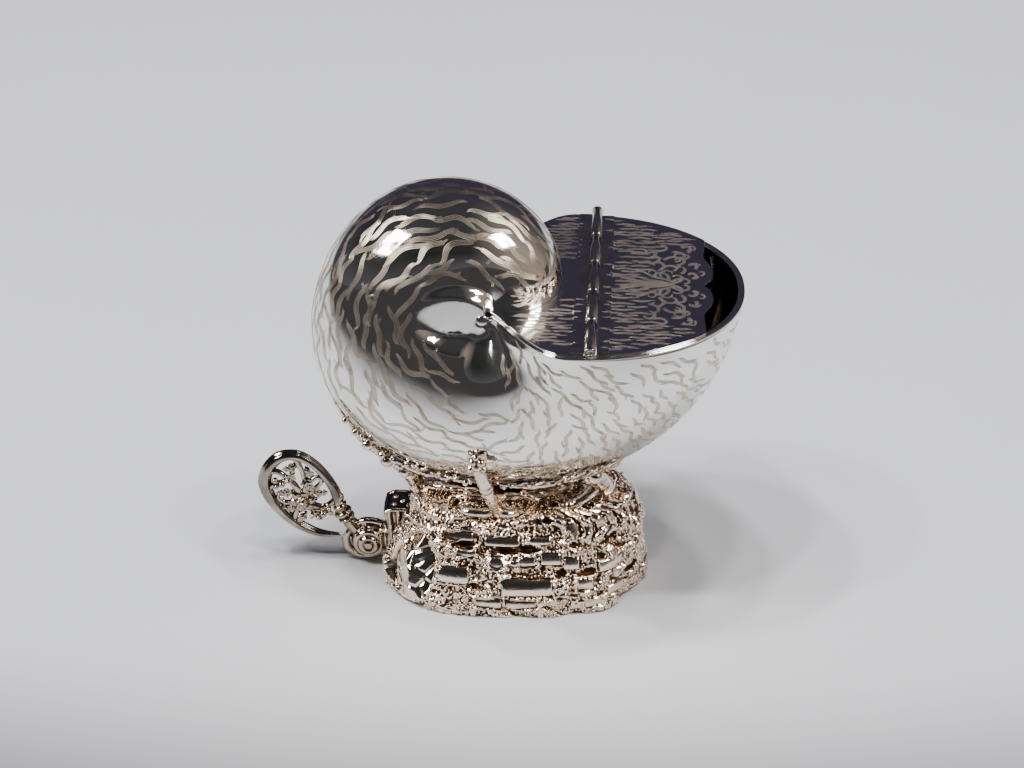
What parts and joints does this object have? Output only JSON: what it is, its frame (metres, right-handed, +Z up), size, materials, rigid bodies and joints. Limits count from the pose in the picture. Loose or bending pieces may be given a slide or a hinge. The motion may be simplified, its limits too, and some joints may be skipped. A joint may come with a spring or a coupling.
{
  "type": "spoon warmer",
  "caption": "Table vessel shaped as a coiled sea shell with a hinged lid, on cast coral branches and a hollow rock base, with a scroll handle, for warming spoons in hot water.",
  "frame": {"origin": "on the table plane, below the middle of the overall outline", "axes": "+X from the handle towards the mouth lip, +Y to the far side of the shell, +Z up"},
  "size_m": [0.1876, 0.105, 0.1712],
  "materials": {
    "engraved_silver": "polished silver plate with matte engraved wavy strokes",
    "polished_silver": "polished silver plate",
    "cast_silver": "cast and chased silver plate, pitted, warm toned in the recesses",
    "handle_silver": "cast silver plate, toned dark in the recesses",
    "pin_metal": "turned metal"
  },
  "bodies": {
    "root": {"shell_right_half": "engraved_silver", "shell_left_half": "engraved_silver", "mouth_band": "polished_silver", "fixed_cover": "engraved_silver", "cover_hinge_tubes": "polished_silver", "hinge_pin": "pin_metal", "cover_hinge_strip": "polished_silver", "rock_base": "cast_silver", "support_saddle": "cast_silver", "saddle_stud": "pin_metal", "stud_washer": "pin_metal", "stud_nut": "pin_metal", "branch_left": "cast_silver", "branch_front": "cast_silver", "branch_back": "cast_silver", "branch_right": "cast_silver", "front_leaf": "cast_silver", "back_leaf": "cast_silver", "left_twig": "cast_silver", "right_leaf": "cast_silver", "right_twig": "cast_silver", "handle_loop": "handle_silver", "handle_neck": "handle_silver", "handle_neck_ring": "handle_silver", "handle_boss": "handle_silver", "handle_collar": "handle_silver", "handle_stud": "pin_metal", "handle_bracket": "handle_silver", "handle_nut": "pin_metal", "handle_flower": "handle_silver", "handle_leaf": "handle_silver", "handle_beads": "handle_silver"},
    "lid": {"lid_plate": "engraved_silver", "lid_hinge_tubes": "polished_silver", "lid_hinge_strip": "polished_silver"}
  },
  "joints": [
    {"name": "lid_hinge", "type": "hinge", "parent": "root", "child": "lid", "pos_m": [0.03792, 0, 0.1334], "axis": [0, -1, 0], "range_deg": [0, 120]}
  ]
}
